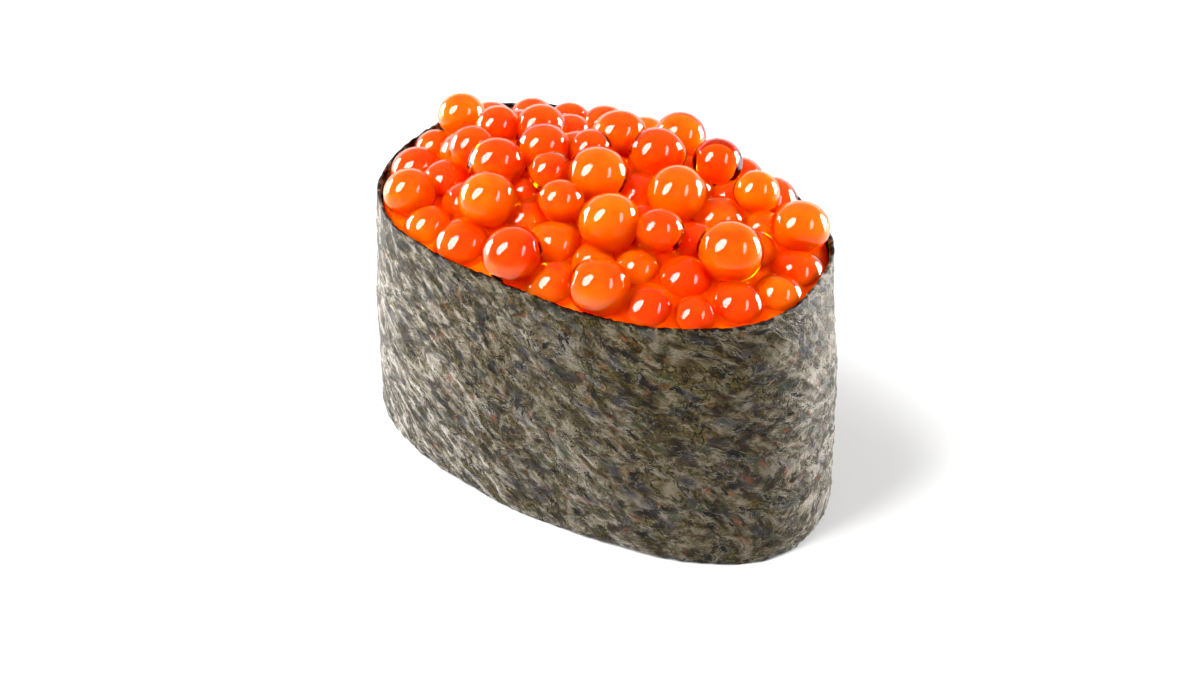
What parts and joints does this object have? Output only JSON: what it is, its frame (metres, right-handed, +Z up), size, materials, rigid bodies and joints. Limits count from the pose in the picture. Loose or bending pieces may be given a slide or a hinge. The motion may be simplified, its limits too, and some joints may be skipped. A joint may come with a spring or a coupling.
{
  "type": "gunkan sushi",
  "caption": "Oval gunkan sushi: a stood-up band of nori round a bed of pressed rice, filled to over its rim with glossy orange salmon roe.",
  "frame": {"origin": "middle of the foot's outline, on the surface that the sushi stands on", "axes": "+X along the oval's length, -Y towards the side that faces forward, +Z up"},
  "size_m": [0.0576, 0.0371, 0.0373],
  "materials": {
    "nori": "dry pressed seaweed, mottled olive and brown with a low silvery sheen",
    "rice": "moist boiled short grain, soft satin",
    "roe": "wet clear skin over translucent orange"
  },
  "bodies": {
    "root": {"nori": "nori", "rice": "rice", "roe": "roe"}
  },
  "joints": []
}
